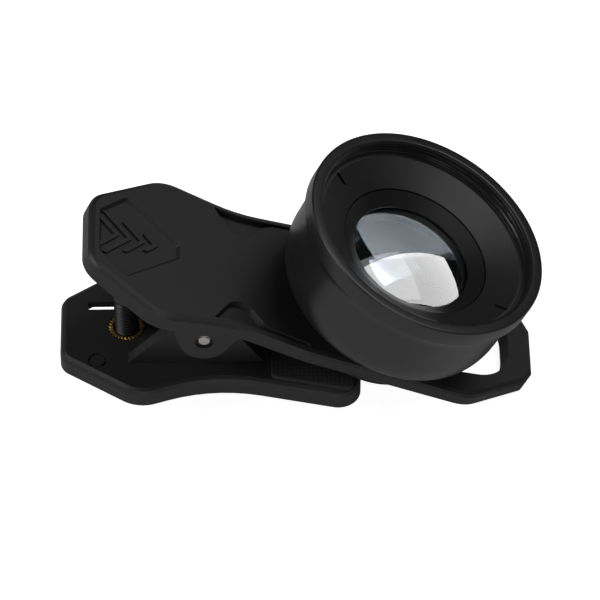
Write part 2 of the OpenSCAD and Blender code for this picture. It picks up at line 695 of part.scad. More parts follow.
module front_retainer() color(anodised) in_lens() {
    inner_r = front_rad - 0.8;
    dome = sag(front_r, front_rad) - sag(front_r, inner_r) + glass_fit;
    top = trim_top - funnel_d - 0.2;
    flange_r = trim_in_d/2 - 0.15;
    rotate_extrude() polygon([
        [front_rad, front_top], [front_rad, cell_top], [flange_r, cell_top],
        [flange_r, max(top, cell_top + 0.4)],
        [inner_r, front_top + dome + 0.3], [inner_r, front_top + dome]]);
}

// Glass: each curved face is part of a sphere, cut to the element's diameter
module front_element() color(glass) in_lens() intersection() {
    translate([0, 0, front_seat]) cylinder(h = front_edge + front_rad, r = front_rad);
    translate([0, 0, front_top + sag(front_r, front_rad) - front_r]) sphere(front_r);
}

module spacer_ring() color(anodised) in_lens() {
    inner_r = pair_rad - 1;
    dome = sag(pair_r, pair_rad) - sag(pair_r, inner_r) + glass_fit;
    rotate_extrude() polygon([[pair_rad, crown_top], [pair_rad, front_seat], [inner_r, front_seat],
                              [inner_r, crown_top + dome]]);
}

module crown_element() color(glass) in_lens() intersection() {
    translate([0, 0, flint_top - pair_rad]) cylinder(h = pair_d, r = pair_rad);
    translate([0, 0, crown_top + sag(pair_r, pair_rad) - pair_r]) sphere(pair_r);
    translate([0, 0, flint_top - sag(cement_r, pair_rad) + cement_r]) sphere(cement_r);
}

module flint_element() color(glass) in_lens() difference() {
    translate([0, 0, stop_top]) cylinder(h = flint_edge, r = pair_rad);
    translate([0, 0, flint_top - sag(cement_r, pair_rad) + cement_r]) sphere(cement_r);
}

module rear_element() color(glass) in_lens() intersection() {
    edge_z = rear_top - rear_edge;
    translate([0, 0, edge_z - rear_glass_rad])
        cylinder(h = rear_edge + rear_glass_rad, r = rear_glass_rad);
    translate([0, 0, edge_z - sag(rear_glass_r, rear_glass_rad) + rear_glass_r]) sphere(rear_glass_r);
}

module rear_retainer() color(anodised) in_lens() {
    inner_r = rear_glass_rad - 1;
    edge_z = rear_top - rear_edge;
    dome = sag(rear_glass_r, rear_glass_rad) - sag(rear_glass_r, inner_r) + glass_fit;
    rotate_extrude() polygon([[rear_glass_rad, edge_z], [rear_glass_rad, edge_z - 1.3],
                              [inner_r, edge_z - 1.3], [inner_r, edge_z - dome]]);
}

lower_arm();
threaded_insert();
lower_jaw_pad();
torsion_spring();
screw_tip_pad();
tension_screw();
thumb_knob();
upper_arm();
hinge_pin();
mount_ring();
phone_pad();
thread_seal();
lens_barrel();
lens_cell();
trim_ring();
front_retainer();
front_element();
spacer_ring();
crown_element();
flint_element();
rear_element();
rear_retainer();
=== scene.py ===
"""Clip-on phone lens: the looks of a spring clip that carries a screw-in close-up lens.

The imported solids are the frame. Each operator makes one piece, or one group of like pieces, over them.
Lengths in the formulas are millimetres, and mesh_piece turns them into metres.
"""

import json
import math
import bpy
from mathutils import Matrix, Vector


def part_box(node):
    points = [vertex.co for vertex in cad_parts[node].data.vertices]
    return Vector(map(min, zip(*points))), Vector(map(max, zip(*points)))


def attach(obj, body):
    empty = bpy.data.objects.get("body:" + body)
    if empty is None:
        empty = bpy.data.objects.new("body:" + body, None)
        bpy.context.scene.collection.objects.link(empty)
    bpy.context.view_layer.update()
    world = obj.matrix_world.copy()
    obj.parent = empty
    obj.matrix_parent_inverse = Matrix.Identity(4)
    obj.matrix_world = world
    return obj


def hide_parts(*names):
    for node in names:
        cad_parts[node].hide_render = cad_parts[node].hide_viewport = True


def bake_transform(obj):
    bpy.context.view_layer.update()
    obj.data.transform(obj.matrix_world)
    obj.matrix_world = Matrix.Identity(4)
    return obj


bl_info = {
    "name": "Clip-on phone lens",
    "version": (1, 0, 0),
    "blender": (4, 5, 0),
    "location": "View3D > Sidebar > Phone lens",
    "description": "Dresses the solids of a clip-on phone lens with threads, knurls, glass, rubber and moulded plastic",
    "category": "Object",
}

import bmesh
import bpy
import numpy as np
from bpy.props import FloatProperty, FloatVectorProperty, IntProperty, PointerProperty
from mathutils import Matrix, Vector

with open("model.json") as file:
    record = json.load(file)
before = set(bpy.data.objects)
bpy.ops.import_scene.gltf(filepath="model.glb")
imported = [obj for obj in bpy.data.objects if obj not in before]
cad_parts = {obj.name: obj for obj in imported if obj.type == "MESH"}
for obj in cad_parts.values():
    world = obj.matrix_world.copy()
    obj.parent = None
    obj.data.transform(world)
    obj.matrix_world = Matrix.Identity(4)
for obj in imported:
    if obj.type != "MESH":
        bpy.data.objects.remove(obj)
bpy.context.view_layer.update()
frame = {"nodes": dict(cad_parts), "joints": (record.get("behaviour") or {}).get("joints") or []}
JOINTS = {joint["name"]: joint for joint in frame["joints"]}
MM = 0.001

# Places that the joints give, in millimetres: the pin, the screw's foot and the lens axis at the upper arm's top
PIN = np.array(JOINTS["jaw_hinge"]["pos_m"]) / MM
SCREW = np.array(JOINTS["screw_turn"]["pos_m"]) / MM
LENS = np.array(JOINTS["lens_turn"]["pos_m"]) / MM
LENS_AXIS = np.array(JOINTS["lens_turn"]["axis"])
TILT = math.atan2(LENS_AXIS[0], LENS_AXIS[2])
LENS_TURN = np.array([[LENS_AXIS[2], 0, LENS_AXIS[0]], [0, 1, 0], [-LENS_AXIS[0], 0, LENS_AXIS[2]]])
UPRIGHT = np.eye(3)

# Heights along the lens axis above the upper arm's top face, and radii about it
LIFT_Z, LEDGE_Z, THREAD_Z, RIM_Z = 3.1, 16.38, 17.5, 19.8
ROUND_H, FLARE_Z, FLARE_H = 5.8, 14.4, 2.4
REAR_R, WAIST_R, RIM_R, FILTER_R, TRIM_SEAT_R, BORE_R, CELL_R = 16.0, 19.1, 20.15, 18.1, 17.7, 17.1, 12.03
REAR_TOP, STOP_TOP, FLINT_TOP, CROWN_TOP, FRONT_SEAT, FRONT_TOP = 2.2, 3.4, 7.0, 8.2, 10.2, 12.8
# Heights of the lower arm's two faces above the foot of the tension screw, which stands on the ground
LOW_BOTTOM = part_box("lower_arm")[0][2] / MM
LOW_TOP = LOW_BOTTOM + 4.0


class PlasticSettings(bpy.types.PropertyGroup):
    """Moulded plastic of the two arms and the knob."""

    colour: FloatVectorProperty(name="Colour", description="Colour of the moulded arms", subtype="COLOR",
                                size=3, min=0, max=1, default=(0.0135, 0.0142, 0.014))
    roughness: FloatProperty(name="Roughness", description="Roughness of the satin skin", default=0.47, min=0, max=1,
                             subtype="FACTOR")
    grain: FloatProperty(name="Grain", description="Depth of the spark-eroded grain", default=0.000012, min=0,
                         max=0.0001, subtype="DISTANCE", unit="LENGTH", precision=6)


class LensSettings(bpy.types.PropertyGroup):
    """Barrel, trim ring and glass."""

    barrel: FloatVectorProperty(name="Barrel", description="Colour of the anodised barrel", subtype="COLOR",
                                size=3, min=0, max=1, default=(0.0105, 0.0105, 0.011))
    barrel_roughness: FloatProperty(name="Barrel roughness", description="Roughness of the blasted barrel",
                                    default=0.33, min=0, max=1, subtype="FACTOR")
    trim: FloatVectorProperty(name="Trim ring", description="Colour of the trim ring and the parts inside",
                              subtype="COLOR", size=3, min=0, max=1, default=(0.0075, 0.0075, 0.0078))
    pitch: FloatProperty(name="Filter thread pitch", description="Pitch of the filter thread in millimetres",
                         default=0.75, min=0.5, max=1)
    groove: FloatProperty(name="Filter thread depth", description="Depth of the filter thread in millimetres",
                          default=0.4, min=0.1, max=0.5)
    coating: FloatProperty(name="Coating", description="Thickness of the glass coating in nanometres",
                           default=290, min=0, max=800)


class MetalSettings(bpy.types.PropertyGroup):
    """Pin, spring, screw and brass insert."""

    brass: FloatVectorProperty(name="Brass", description="Colour of the brass insert", subtype="COLOR",
                               size=3, min=0, max=1, default=(0.72, 0.44, 0.12))
    steel: FloatVectorProperty(name="Steel", description="Colour of the pin and the spring", subtype="COLOR",
                               size=3, min=0, max=1, default=(0.68, 0.66, 0.61))
    oxide: FloatVectorProperty(name="Black oxide", description="Colour of the tension screw", subtype="COLOR",
                               size=3, min=0, max=1, default=(0.016, 0.016, 0.017))
    screw_pitch: FloatProperty(name="Screw pitch", description="Pitch of the tension screw in millimetres",
                               default=0.7, min=0.4, max=1)
    pin_teeth: IntProperty(name="Pin teeth", description="Number of serrations round each end of the pin",
                           default=18, min=8, max=40)
    insert_teeth: IntProperty(name="Insert teeth", description="Number of teeth round the brass insert",
                              default=28, min=12, max=60)


class RubberSettings(bpy.types.PropertyGroup):
    """Soft parts."""

    colour: FloatVectorProperty(name="Colour", description="Colour of the rubber", subtype="COLOR", size=3, min=0,
                                max=1, default=(0.012, 0.012, 0.0122))
    roughness: FloatProperty(name="Roughness", description="Roughness of the rubber", default=0.72, min=0, max=1,
                             subtype="FACTOR")
    dots: FloatProperty(name="Dot spacing", description="Distance between the jaw pad's moulded dots",
                        default=0.0007, min=0.0003, max=0.002, subtype="DISTANCE", unit="LENGTH", precision=5)


class StageSettings(bpy.types.PropertyGroup):
    """Camera, lamps and floor."""

    azimuth: FloatProperty(name="Azimuth", description="Turn of the camera from the clip's right side",
                           default=math.radians(1.0375), subtype="ANGLE", unit="ROTATION")
    elevation: FloatProperty(name="Elevation", description="Height of the camera above the horizon",
                             default=math.radians(49.225), subtype="ANGLE", unit="ROTATION")
    distance: FloatProperty(name="Distance", description="Distance from the camera to its aim", default=0.71331,
                            min=0.2, subtype="DISTANCE", unit="LENGTH", precision=5)
    aim: FloatVectorProperty(name="Aim", description="Point in the middle of the picture", subtype="XYZ",
                             unit="LENGTH", size=3, default=(0.00009, 0.00099, 0.015), precision=5)
    focal: FloatProperty(name="Focal length", description="Focal length on a 36 mm wide sensor, in millimetres",
                         default=265.965, min=20)
    floor: FloatProperty(name="Floor", description="Brightness of the floor", default=0.86, min=0, max=1,
                         subtype="FACTOR")
    glow: FloatProperty(name="Glow", description="Light that the floor adds for the camera alone", default=0.92,
                        min=0, max=1, subtype="FACTOR")


class ClipSettings(bpy.types.PropertyGroup):
    """All the settings of the clip-on lens."""

    plastic: PointerProperty(type=PlasticSettings)
    lens: PointerProperty(type=LensSettings)
    metal: PointerProperty(type=MetalSettings)
    rubber: PointerProperty(type=RubberSettings)
    stage: PointerProperty(type=StageSettings)


# Surfaces

def rounded_loop(corners, cuts, steps=6):
    """A closed line with rounded corners.

    Corner B between its neighbours A and C becomes the parabola (1-t)^2 P + 2t(1-t) B + t^2 Q, where P and Q lie on
    BA and BC at the distance cut from B, and at most at 0.48 of either edge. A cut of 0 keeps the corner.
    """
    corners, cuts = np.asarray(corners, float), np.broadcast_to(np.asarray(cuts, float), len(corners))
    back, ahead = np.roll(corners, 1, 0) - corners, np.roll(corners, -1, 0) - corners
    back_len, ahead_len = np.linalg.norm(back, axis=1), np.linalg.norm(ahead, axis=1)
    cut = np.minimum(cuts, 0.48 * np.minimum(back_len, ahead_len))
    start = corners + back * (cut / back_len)[:, None]
    end = corners + ahead * (cut / ahead_len)[:, None]
    t = np.linspace(0, 1, steps)[None, :, None]
    points = (1 - t) ** 2 * start[:, None] + 2 * t * (1 - t) * corners[:, None] + t ** 2 * end[:, None]
    points = points.reshape(-1, corners.shape[1])
    apart = np.linalg.norm(points - np.roll(points, 1, 0), axis=1) > 1e-9
    return points[apart]


def spun(radius, height, turns):
    """Radius and height grids turned round Z: point (i, j) is (r cos a, r sin a, z) with a = 2 pi i / turns."""
    angle = 2 * np.pi * np.arange(turns)[:, None] / turns
    radius, height = np.broadcast_arrays(radius, height)
    if radius.ndim == 1:
        radius, height = radius[None, :], height[None, :]
    radius, height, angle = np.broadcast_arrays(radius, height, angle)
    return np.stack([radius * np.cos(angle), radius * np.sin(angle), height], -1)


def swept(path, across, radius, sides):
    """A round tube along a path: path + radius (cos a N + sin a B), where N = T x across and B = N x T."""
    tangent = np.gradient(path, axis=0)
    tangent /= np.linalg.norm(tangent, axis=1)[:, None]
    normal = np.cross(tangent, across)
    normal /= np.linalg.norm(normal, axis=1)[:, None]
    other = np.cross(normal, tangent)
    angle = 2 * np.pi * np.arange(sides) / sides
    ring = np.cos(angle)[None, :, None] * normal[:, None] + np.sin(angle)[None, :, None] * other[:, None]
    return path[:, None] + np.reshape(radius, (-1, 1, 1)) * ring


def inset_loop(loop, distance):
    """A closed flat loop moved inwards: every point goes distance / cos(half turn) along its corner's mean normal."""
    ahead = np.roll(loop, -1, 0) - loop
    ahead /= np.linalg.norm(ahead, axis=1)[:, None]
    behind = np.roll(ahead, 1, 0)
    turn = np.stack([-ahead[:, 1], ahead[:, 0]], -1) + np.stack([-behind[:, 1], behind[:, 0]], -1)
    return loop + 2 * distance * turn / np.sum(turn * turn, axis=1)[:, None]


def saw(x):
    """A symmetric zigzag of period 1, which is 0 at whole numbers and 1 half way between them."""
    return 1 - np.abs(2 * (x - np.floor(x)) - 1)


def thread_groove(angle, height, pitch, depth, low, high):
    """Depth of a groove that climbs one pitch a turn: depth times a clipped zigzag of z/pitch - a/(2 pi).

    The groove fades out over 0.6 pitch before either end, as a cut thread does.
    """
    shape = np.clip(1.35 * saw(height / pitch - angle / (2 * np.pi)) - 0.12, 0, 1)
    fade = np.clip(np.minimum(height - low, high - height) / (0.6 * pitch), 0, 1)
    return depth * shape * fade


# Meshes

def mesh_piece(name, grids, body, material, nodes=(), at=(0, 0, 0), turn=UPRIGHT, sharp=32):
    """Joins grids of points, each (points, wrap round, close the other way), in one piece that rides on its body."""
    verts, faces, first = [], [], 0
    for points, wrap_u, wrap_v in grids:
        rows, cols = points.shape[:2]
        index = first + np.arange(rows * cols).reshape(rows, cols)
        u0, v0 = np.meshgrid(np.arange(rows - (not wrap_u)), np.arange(cols - (not wrap_v)), indexing="ij")
        u1, v1 = (u0 + 1) % rows, (v0 + 1) % cols
        faces.append(np.stack([index[u0, v0], index[u1, v0], index[u1, v1], index[u0, v1]], -1).reshape(-1, 4))
        verts.append(points.reshape(-1, 3))
        first += rows * cols
    verts = (np.concatenate(verts) @ np.asarray(turn).T + np.asarray(at)) * MM
    mesh = bpy.data.meshes.new(name)
    mesh.from_pydata(verts.tolist(), [], np.concatenate(faces).tolist())
    solid = bmesh.new()
    solid.from_mesh(mesh)
    bmesh.ops.remove_doubles(solid, verts=solid.verts, dist=1e-7)
    holes = [edge for edge in solid.edges if edge.is_boundary]
    if holes:
        bmesh.ops.holes_fill(solid, edges=holes, sides=0)
    bmesh.ops.recalc_face_normals(solid, faces=solid.faces)
    solid.to_mesh(mesh)
    solid.free()
    mesh.polygons.foreach_set("use_smooth", np.ones(len(mesh.polygons), bool))
    mesh.set_sharp_from_angle(angle=math.radians(sharp))
    mesh.materials.append(material)
    piece = bpy.data.objects.new(name, mesh)
    bpy.context.scene.collection.objects.link(piece)
    if body:
        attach(piece, body)
    if nodes:
        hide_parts(*nodes)
    return piece


def dress(node, material):
    """Gives a carried-over solid its material."""
    slots = frame["nodes"][node].material_slots
    if not slots:
        frame["nodes"][node].data.materials.append(material)
    for one in slots:
        one.material = material


# Shader parts

def new_group(name, inputs, outputs):
    """An empty shader node group with named inputs (name, default) and outputs (name, socket type)."""
    group = bpy.data.node_groups.new(name, "ShaderNodeTree")
    for label, value in inputs:
        socket = group.interface.new_socket(name=label, in_out="INPUT", socket_type="NodeSocketFloat")
        socket.default_value = value
    for label, kind in outputs:
        group.interface.new_socket(name=label, in_out="OUTPUT", socket_type=kind)
    return group, group.nodes.new("NodeGroupInput"), group.nodes.new("NodeGroupOutput")


def node(tree, kind, inputs=None, **settings):
    """One node with its settings and its inputs, each a value or the socket that feeds it."""
    made = tree.nodes.new(kind)
    for key, value in settings.items():
        setattr(made, key, value)
    for key, value in (inputs or {}).items():
        if isinstance(value, bpy.types.NodeSocket):
            tree.links.new(value, made.inputs[key])
        else:
            made.inputs[key].default_value = value
    return made


def math_node(tree, operation, a, b=0.0, clamp=False):
    """The result of one sum."""
    return node(tree, "ShaderNodeMath", {0: a, 1: b}, operation=operation, use_clamp=clamp).outputs[0]


def spread(tree, value, low, high, to_low, to_high):
    """A value moved from one range to another."""
    return node(tree, "ShaderNodeMapRange", {0: value, 1: low, 2: high, 3: to_low, 4: to_high}).outputs[0]


def grain_group():
    """Fine moulded or blasted grain: two sizes of noise, a soft cloud and sparse scuffs, in Object coordinates."""
    group, given, made = new_group("Surface grain", [("Size", 0.0003), ("Scuffs", 0.3)],
                                   [("Height", "NodeSocketFloat"), ("Cloud", "NodeSocketFloat"),
                                    ("Scuff", "NodeSocketFloat")])
    place = node(group, "ShaderNodeTexCoord").outputs["Object"]
    scale = math_node(group, "DIVIDE", 1.0, given.outputs["Size"])
    fine = node(group, "ShaderNodeTexNoise", {"Vector": place, "Scale": scale, "Detail": 2.0, "Roughness": 0.6})
    coarse = node(group, "ShaderNodeTexNoise", {"Vector": place, "Scale": math_node(group, "MULTIPLY", scale, 0.31),
                                                "Detail": 1.0})
    height = math_node(group, "ADD", math_node(group, "MULTIPLY", fine.outputs["Fac"], 0.7),
                       math_node(group, "MULTIPLY", coarse.outputs["Fac"], 0.3))
    cloud = node(group, "ShaderNodeTexNoise", {"Vector": place, "Scale": 70.0, "Detail": 3.0})
    turned = node(group, "ShaderNodeMapping", {"Vector": place, "Rotation": (0.3, 0.2, 0.9), "Scale": (1.0, 9.0, 1.0)})
    lines = node(group, "ShaderNodeTexNoise", {"Vector": turned.outputs[0], "Scale": 160.0, "Detail": 4.0,
                                               "Roughness": 0.7})
    scuff = spread(group, lines.outputs["Fac"], 0.62, 0.74, 0.0, 1.0)
    group.links.new(height, made.inputs["Height"])
    group.links.new(cloud.outputs["Fac"], made.inputs["Cloud"])
    group.links.new(math_node(group, "MULTIPLY", scuff, given.outputs["Scuffs"]), made.inputs["Scuff"])
    return group


def dot_group():
    """Moulded dots: a square lattice of round heads from the distance to the middle of each cell."""
    group, given, made = new_group("Moulded dots", [("Spacing", 0.0007), ("Radius", 0.34)],
                                   [("Height", "NodeSocketFloat"), ("Dot", "NodeSocketFloat")])
    place = node(group, "ShaderNodeTexCoord").outputs["Object"]
    cell = node(group, "ShaderNodeVectorMath", {0: place}, operation="DIVIDE")
    step = node(group, "ShaderNodeCombineXYZ", {"X": given.outputs["Spacing"], "Y": given.outputs["Spacing"], "Z": 1.0})
    group.links.new(step.outputs[0], cell.inputs[1])
    part = node(group, "ShaderNodeVectorMath", {0: cell.outputs[0]}, operation="FRACTION")
    moved = node(group, "ShaderNodeVectorMath", {0: part.outputs[0], 1: (0.5, 0.5, 0.0)}, operation="SUBTRACT")
    flat = node(group, "ShaderNodeVectorMath", {0: moved.outputs[0], 1: (1.0, 1.0, 0.0)}, operation="MULTIPLY")
    away = node(group, "ShaderNodeVectorMath", {0: flat.outputs[0]}, operation="LENGTH").outputs["Value"]
    head = math_node(group, "SUBTRACT", 1.0, math_node(group, "DIVIDE", away, given.outputs["Radius"]), clamp=True)
    group.links.new(math_node(group, "SQRT", head), made.inputs["Height"])
    group.links.new(math_node(group, "GREATER_THAN", head, 0.05), made.inputs["Dot"])
    return group


def turned_group():
    """Fine turning marks: noise stretched round the lens axis, read from the distance to the axis and the height."""
    group, given, made = new_group("Turning marks", [("Spacing", 0.00012)],
                                   [("Height", "NodeSocketFloat"), ("Along", "NodeSocketFloat"),
                                    ("Away", "NodeSocketFloat")])
    place = node(group, "ShaderNodeTexCoord").outputs["Object"]
    moved = node(group, "ShaderNodeVectorMath", {0: place, 1: tuple(-LENS * MM)}, operation="ADD")
    along = node(group, "ShaderNodeVectorMath", {0: moved.outputs[0], 1: tuple(LENS_AXIS)},
                 operation="DOT_PRODUCT").outputs["Value"]
    cross = node(group, "ShaderNodeVectorMath", {0: moved.outputs[0], 1: tuple(LENS_AXIS)}, operation="CROSS_PRODUCT")
    away = node(group, "ShaderNodeVectorMath", {0: cross.outputs[0]}, operation="LENGTH").outputs["Value"]
    rings = node(group, "ShaderNodeCombineXYZ", {
        "X": math_node(group, "DIVIDE", away, given.outputs["Spacing"]),
        "Y": math_node(group, "DIVIDE", along, given.outputs["Spacing"]), "Z": 0.0})
    marks = node(group, "ShaderNodeTexNoise", {"Vector": rings.outputs[0], "Scale": 1.0, "Detail": 1.0})
    group.links.new(marks.outputs["Fac"], made.inputs["Height"])
    group.links.new(along, made.inputs["Along"])
    group.links.new(away, made.inputs["Away"])
    return group


def new_material(name):
    """A material with an empty Principled BSDF."""
    material = bpy.data.materials.new(name)
    material.use_nodes = True
    return material, material.node_tree, material.node_tree.nodes["Principled BSDF"]


def placed(tree, group_name, **values):
    """One use of a node group with its own values."""
    made = tree.nodes.new("ShaderNodeGroup")
    made.node_tree = bpy.data.node_groups[group_name]
    for key, value in values.items():
        made.inputs[key].default_value = value
    return made


def tint(tree, factor, low, high):
    """A colour between two colours."""
    return node(tree, "ShaderNodeMix", {0: factor, 6: (*low, 1), 7: (*high, 1)}, data_type="RGBA").outputs[2]


def bump(tree, height, distance, strength=1.0, under=None):
    """A normal from a height, in metres of depth."""
    inputs = {"Height": height, "Distance": distance, "Strength": strength}
    if under is not None:
        inputs["Normal"] = under
    return node(tree, "ShaderNodeBump", inputs).outputs["Normal"]


def scaled(colour, by):
    """A colour made lighter or darker."""
    return tuple(min(1.0, channel * by) for channel in colour)


def moulded(name, settings, by=1.0, size=0.00028, scuffs=0.5):
    """Satin moulded plastic: grain in the normal, cloud and scuffs in the roughness and colour."""
    material, tree, shader = new_material(name)
    grain = placed(tree, "Surface grain", Size=size, Scuffs=scuffs)
    colour = scaled(settings.colour, by)
    base = tint(tree, grain.outputs["Cloud"], scaled(colour, 0.82), scaled(colour, 1.2))
    worn = node(tree, "ShaderNodeMix", {0: grain.outputs["Scuff"], 6: base, 7: (*scaled(colour, 1.9), 1)},
                data_type="RGBA").outputs[2]
    tree.links.new(worn, shader.inputs["Base Color"])
    rough = spread(tree, grain.outputs["Cloud"], 0.3, 0.7, settings.roughness - 0.06, settings.roughness + 0.06)
    tree.links.new(math_node(tree, "SUBTRACT", rough, math_node(tree, "MULTIPLY", grain.outputs["Scuff"], 0.08)),
                   shader.inputs["Roughness"])
    tree.links.new(bump(tree, grain.outputs["Height"], settings.grain, 0.8), shader.inputs["Normal"])
    shader.inputs["IOR"].default_value = 1.5
    return material


def anodised(name, colour, roughness, marks=0.000004, grain=0.000006, size=0.0002):
    """Black anodised aluminium: blasted grain over faint turning marks."""
    material, tree, shader = new_material(name)
    turned = placed(tree, "Turning marks")
    fine = placed(tree, "Surface grain", Size=size, Scuffs=0.35)
    tree.links.new(tint(tree, fine.outputs["Cloud"], scaled(colour, 0.8), scaled(colour, 1.25)),
                   shader.inputs["Base Color"])
    tree.links.new(spread(tree, fine.outputs["Cloud"], 0.3, 0.7, roughness - 0.04, roughness + 0.05),
                   shader.inputs["Roughness"])
    under = bump(tree, turned.outputs["Height"], marks)
    tree.links.new(bump(tree, fine.outputs["Height"], grain, 0.7, under), shader.inputs["Normal"])
    shader.inputs["IOR"].default_value = 1.6
    return material


def metal(name, colour, roughness, grain=0.000005, size=0.00015, tarnish=0.75):
    """Bare metal: a fine grain, with duller and darker clouds."""
    material, tree, shader = new_material(name)
    fine = placed(tree, "Surface grain", Size=size, Scuffs=0.5)
    tree.links.new(tint(tree, fine.outputs["Cloud"], scaled(colour, tarnish), scaled(colour, 1.1)),
                   shader.inputs["Base Color"])
    tree.links.new(spread(tree, fine.outputs["Cloud"], 0.3, 0.7, roughness - 0.06, roughness + 0.1),
                   shader.inputs["Roughness"])
    tree.links.new(bump(tree, fine.outputs["Height"], grain, 0.6), shader.inputs["Normal"])
    shader.inputs["Metallic"].default_value = 1.0
    return material


def rubber(name, settings, dots=False, by=1.0):
    """Matte rubber with a fine grain, and a lattice of dots where the pad grips."""
    material, tree, shader = new_material(name)
    fine = placed(tree, "Surface grain", Size=0.0002, Scuffs=0.2)
    colour = scaled(settings.colour, by)
    base = tint(tree, fine.outputs["Cloud"], scaled(colour, 0.85), scaled(colour, 1.25))
    normal = bump(tree, fine.outputs["Height"], 0.00001, 0.7)
    if dots:
        heads = placed(tree, "Moulded dots", Spacing=settings.dots)
        base = node(tree, "ShaderNodeMix", {0: heads.outputs["Dot"], 6: base, 7: (*scaled(colour, 1.7), 1)},
                    data_type="RGBA").outputs[2]
        normal = bump(tree, heads.outputs["Height"], 0.00006, 1.0, normal)
    tree.links.new(base, shader.inputs["Base Color"])
    tree.links.new(spread(tree, fine.outputs["Cloud"], 0.3, 0.7, settings.roughness - 0.07, settings.roughness + 0.05),
                   shader.inputs["Roughness"])
    tree.links.new(normal, shader.inputs["Normal"])
    shader.inputs["IOR"].default_value = 1.5
    return material


def clear_glass(name, tone, film=0.0):
    """Polished glass with a thin coating, whose faint smears change the roughness a little."""
    material, tree, shader = new_material(name)
    fine = placed(tree, "Surface grain", Size=0.002, Scuffs=0.2)
    tree.links.new(spread(tree, fine.outputs["Cloud"], 0.45, 0.75, 0.0, 0.02), shader.inputs["Roughness"])
    tree.links.new(tint(tree, fine.outputs["Cloud"], scaled(tone, 0.985), tone), shader.inputs["Base Color"])
    shader.inputs["IOR"].default_value = 1.52
    shader.inputs["Transmission Weight"].default_value = 1.0
    shader.inputs["Thin Film Thickness"].default_value = film
    shader.inputs["Thin Film IOR"].default_value = 1.38
    return material


# Operators

class PHONELENS_OT_arms(bpy.types.Operator):
    """Gives the two moulded arms their satin plastic"""

    bl_idname = "phonelens.arms"
    bl_label = "Arms"

    def execute(self, context):
        plastic = context.scene.phone_lens.plastic
        dress("upper_arm", moulded("upper arm plastic", plastic))
        # Painted light: the lower arm is the same plastic as the upper arm, but its colour is painted 12 percent
        # lighter
        dress("lower_arm", moulded("lower arm plastic painted lighter", plastic, by=1.12, scuffs=0.6))
        return {"FINISHED"}


class PHONELENS_OT_barrel(bpy.types.Operator):
    """Turns the barrel with its rounded end, hollow flare, lip and filter thread"""

    bl_idname = "phonelens.barrel"
    bl_label = "Barrel"

    def execute(self, context):
        lens = context.scene.phone_lens.lens
        turns = 288
        quarter = np.linspace(0, np.pi / 2, 14)
        end = np.stack([REAR_R + (WAIST_R - 0.15 - REAR_R) * np.sin(quarter),
                        LIFT_Z + ROUND_H * (1 - np.cos(quarter))], -1)
        flare = np.stack([WAIST_R + (RIM_R - WAIST_R) * (1 - np.cos(quarter)),
                          FLARE_Z + FLARE_H * np.sin(quarter)], -1)
        corners = np.array([[RIM_R, RIM_Z], [FILTER_R + lens.groove, RIM_Z]])
        outside = np.concatenate([[[CELL_R, LIFT_Z]], end, flare])
        loop = rounded_loop(np.concatenate([
            outside, corners, [[FILTER_R, RIM_Z - 0.28], [FILTER_R, THREAD_Z], [TRIM_SEAT_R, THREAD_Z],
                               [TRIM_SEAT_R, LEDGE_Z], [BORE_R, LEDGE_Z], [BORE_R, 5.1], [CELL_R, 5.1]]]),
            [0.25] + [0] * (len(end) + len(flare) - 1) + [0.22, 0.34, 0.12] + [0.05] * 7, steps=5)
        # The rows of the threaded wall are laid closer together, at 14 to a pitch
        wall = np.argmax((np.abs(loop[:, 0] - FILTER_R) < 1e-6) & (loop[:, 1] < RIM_Z - 0.3))
        heights = np.linspace(loop[wall, 1], THREAD_Z + 0.06, 36)[1:-1]
        loop = np.concatenate([loop[:wall + 1], np.stack([np.full(34, FILTER_R), heights], -1), loop[wall + 1:]])
        angle = 2 * np.pi * np.arange(turns)[:, None] / turns
        radius, height = np.broadcast_arrays(loop[None, :, 0], loop[None, :, 1])
        on_wall = (np.abs(radius - FILTER_R) < 1e-6)
        groove = thread_groove(angle, height, lens.pitch, lens.groove, THREAD_Z, RIM_Z - 0.1)
        points = spun(radius + np.where(on_wall, groove, 0), height, turns)
        material = anodised("barrel anodising", lens.barrel, lens.barrel_roughness)
        mesh_piece("barrel", [(points, True, True)], "lens", material, ["lens_barrel"],
                   LENS, LENS_TURN)
        return {"FINISHED"}


class PHONELENS_OT_trim(bpy.types.Operator):
    """Finishes the trim ring, the retaining rings and the lens cell"""

    bl_idname = "phonelens.trim"
    bl_label = "Trim ring and cell"

    def execute(self, context):
        lens = context.scene.phone_lens.lens
        dress("trim_ring", anodised("trim ring anodising", scaled(lens.trim, 1.5), 0.42))
        dress("front_retainer", anodised("retainer anodising", lens.trim, 0.36))
        dress("lens_cell", anodised("cell anodising", lens.trim, 0.4))
        inner = anodised("inner blacking", scaled(lens.trim, 0.7), 0.6)
        dress("spacer_ring", inner)
        dress("rear_retainer", inner)
        return {"FINISHED"}


